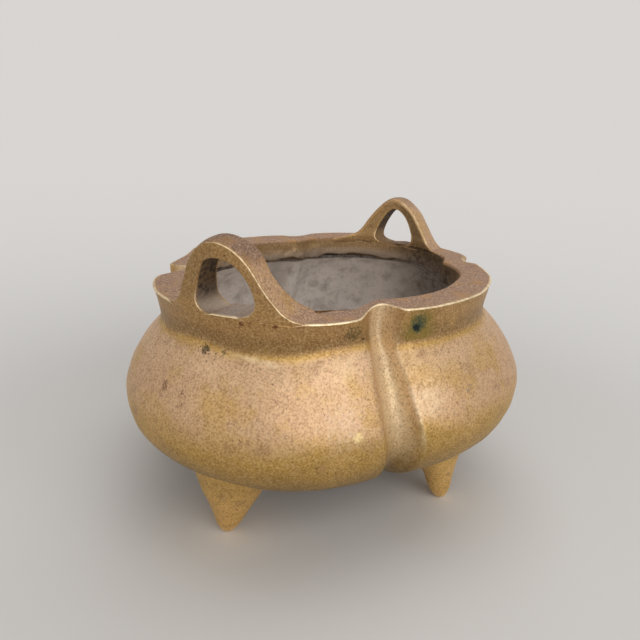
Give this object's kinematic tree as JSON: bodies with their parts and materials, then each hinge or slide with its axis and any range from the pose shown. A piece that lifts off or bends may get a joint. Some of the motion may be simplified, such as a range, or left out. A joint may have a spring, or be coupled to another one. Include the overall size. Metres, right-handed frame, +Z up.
{
  "type": "lobed incense burner",
  "caption": "Squat lobed bronze incense burner with a flared neck, a flat rim, loop handles on the rim and small cone-shaped feet.",
  "frame": {"origin": "on the upright axis through the middle of the mouth, in the plane of the feet's tips, which is the table", "axes": "+X along the longer axis of the plan, towards the lower handle; +Z up; +Y completes the right-handed set. In the picture the near handle is on -X and the right-hand lobe is on -Y."},
  "size_m": [0.1376, 0.1204, 0.084],
  "materials": {
    "belly_bronze": "satin cast bronze with a pinkish-brown patina and fine dark pits",
    "neck_bronze": "satin olive-gold bronze, with a bright worn line along the rim's edge and a matte, granular rim top",
    "handle_bronze": "satin brown bronze, bright where the edges are worn",
    "foot_bronze": "satin yellow-brown bronze"
  },
  "bodies": {
    "root": {"bowl": "belly_bronze", "neck_rim": "neck_bronze", "handle_right": "handle_bronze", "handle_left": "handle_bronze", "foot_right": "foot_bronze", "foot_rear": "foot_bronze", "foot_left": "foot_bronze", "foot_front": "foot_bronze"}
  },
  "joints": []
}
